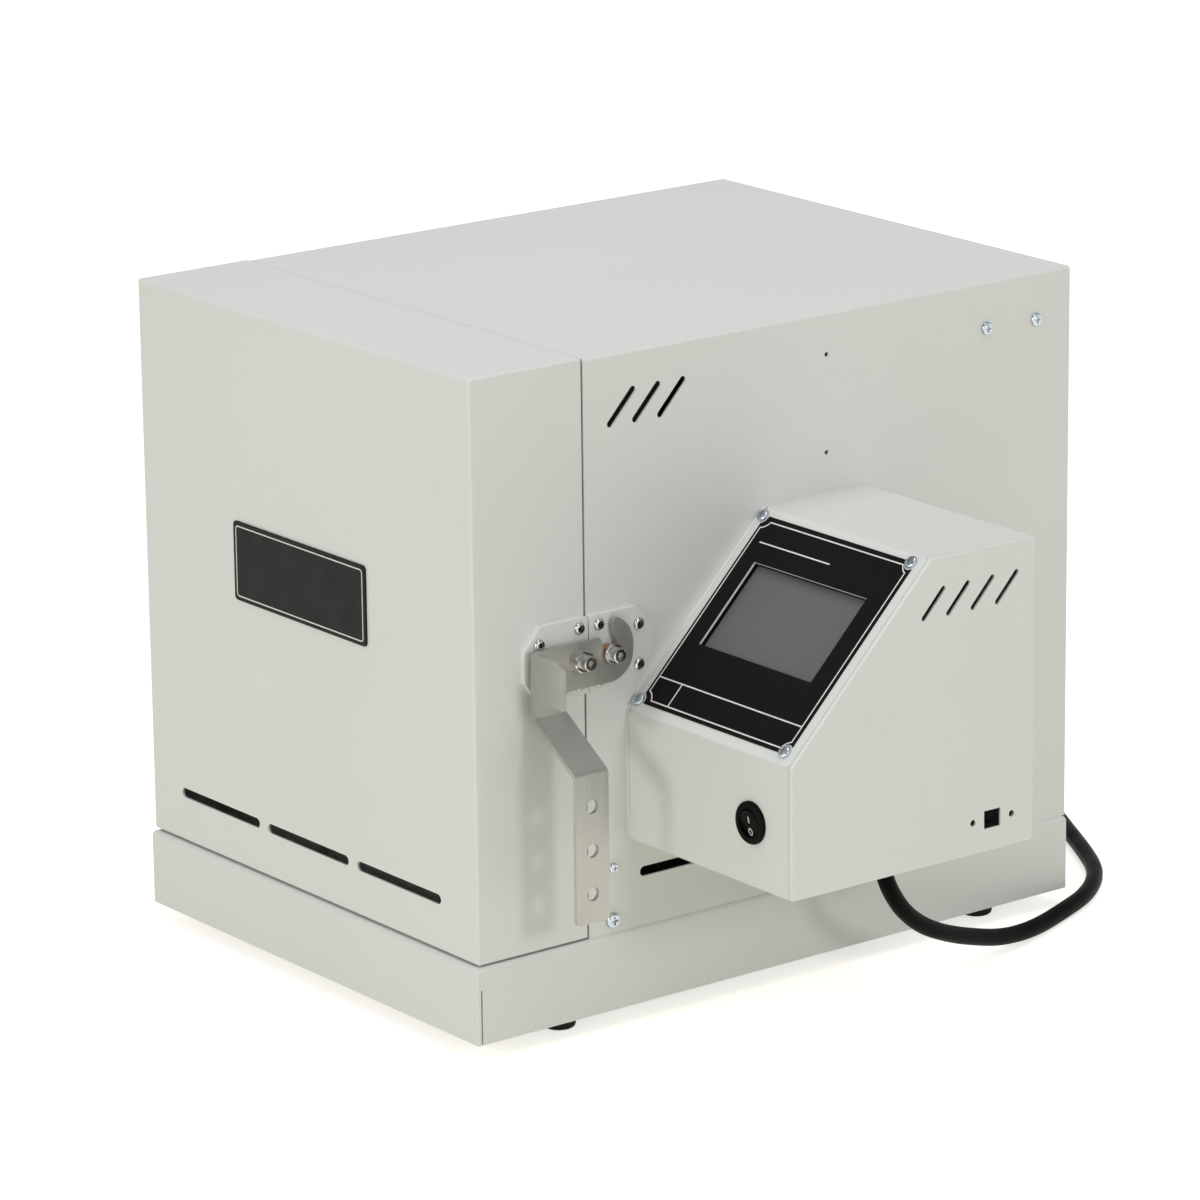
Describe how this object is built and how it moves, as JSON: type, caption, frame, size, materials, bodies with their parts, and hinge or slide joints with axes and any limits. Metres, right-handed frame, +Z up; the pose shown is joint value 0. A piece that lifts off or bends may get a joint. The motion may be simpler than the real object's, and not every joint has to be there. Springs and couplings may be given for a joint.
{
  "type": "bench heat treat oven",
  "caption": "Bench heat treat oven with a side-hinged door, a side lever latch, a brick-lined chamber and a sloped control box.",
  "frame": {"origin": "on the bench, under the middle of the oven's box without its free cord", "axes": "+Z up, the door faces -Y, the latch and the control box are on the +X side"},
  "size_m": [0.518, 0.639, 0.423],
  "materials": {
    "powder_coat": "satin powder coat, warm off-white",
    "zinc_steel": "zinc plated, bright",
    "stainless": "brushed stainless steel",
    "bronze": "satin bronze",
    "black_label": "matte printed film",
    "black_plastic": "matte moulded plastic",
    "screen_grey": "satin grey screen, unlit",
    "badge_black": "black anodised plate",
    "rubber": "matte rubber",
    "cord_jacket": "satin flexible jacket",
    "brass": "bright brass",
    "fire_brick": "matte insulating fire brick",
    "fibre_board": "matte fibre board",
    "heating_wire": "oxidised resistance wire",
    "ceramic": "glazed ceramic",
    "sheath_steel": "heat-tinted sheath",
    "circuit_board": "green circuit board",
    "aluminium": "extruded, plain"
  },
  "bodies": {
    "cabinet": {"base_pan": "powder_coat", "box_screws": "zinc_steel", "cabinet_floor": "powder_coat", "cabinet_screws": "zinc_steel", "cabinet_wrap": "powder_coat", "chamber_insulation": "fibre_board", "control_box_band": "powder_coat", "control_box_cover": "powder_coat", "control_box_tray": "powder_coat", "controller_board": "circuit_board", "cord_coil": "cord_jacket", "cord_gland": "black_plastic", "cord_run": "cord_jacket", "cord_tail": "cord_jacket", "display_module": "circuit_board", "element_bushings": "ceramic", "front_frame": "powder_coat", "hearth_bricks": "fire_brick", "heat_sink": "aluminium", "heater_relay": "black_plastic", "heating_elements": "heating_wire", "hinge_body_leaves": "zinc_steel", "hinge_pins": "zinc_steel", "keeper_plate": "powder_coat", "keeper_screws": "zinc_steel", "panel_label": "black_label", "panel_screws": "zinc_steel", "plug_blades": "brass", "plug_body": "cord_jacket", "rear_brace": "powder_coat", "rear_brick": "fire_brick", "rear_insulation": "fibre_board", "rear_panel": "powder_coat", "roof_bricks": "fire_brick", "rubber_feet": "rubber", "screen_frame": "black_plastic", "screen_pane": "screen_grey", "side_bricks": "fire_brick", "striker_bolt": "zinc_steel", "striker_washer": "zinc_steel", "switch_body": "black_plastic", "terminal_strip": "black_plastic", "thermocouple": "sheath_steel", "wire_grommet": "rubber"},
    "door": {"door_skin": "powder_coat", "door_frame": "powder_coat", "door_brick": "fire_brick", "door_insulation": "fibre_board", "badge_plate": "badge_black", "pivot_plate": "powder_coat", "pivot_plate_screws": "zinc_steel", "pivot_collar": "stainless", "pivot_bolt": "zinc_steel", "pivot_spacer": "zinc_steel", "hinge_door_leaves": "zinc_steel", "hinge_door_screws": "zinc_steel"},
    "latch_lever": {"latch_lever": "stainless"},
    "switch_rocker": {"switch_rocker": "black_plastic"},
    "striker_bush": {"striker_bush": "bronze"}
  },
  "joints": [
    {"name": "door_hinge", "type": "hinge", "parent": "cabinet", "child": "door", "pos_m": [-0.254, -0.15175, 0.2416], "axis": [0, 0, -1], "range_deg": [0, 165]},
    {"name": "latch_pivot", "type": "hinge", "parent": "door", "child": "latch_lever", "pos_m": [0.108, -0.1632, 0.2416], "axis": [-1, 0, 0], "range_deg": [0, 65]},
    {"name": "rocker_pivot", "type": "hinge", "parent": "cabinet", "child": "switch_rocker", "pos_m": [0.2218, -0.121, 0.1587], "axis": [-1, 0, 0], "range_deg": [0, 24]},
    {"name": "bush_spin", "type": "hinge", "parent": "cabinet", "child": "striker_bush", "pos_m": [0.108, -0.139, 0.2416], "axis": [1, 0, 0], "continuous": true}
  ]
}
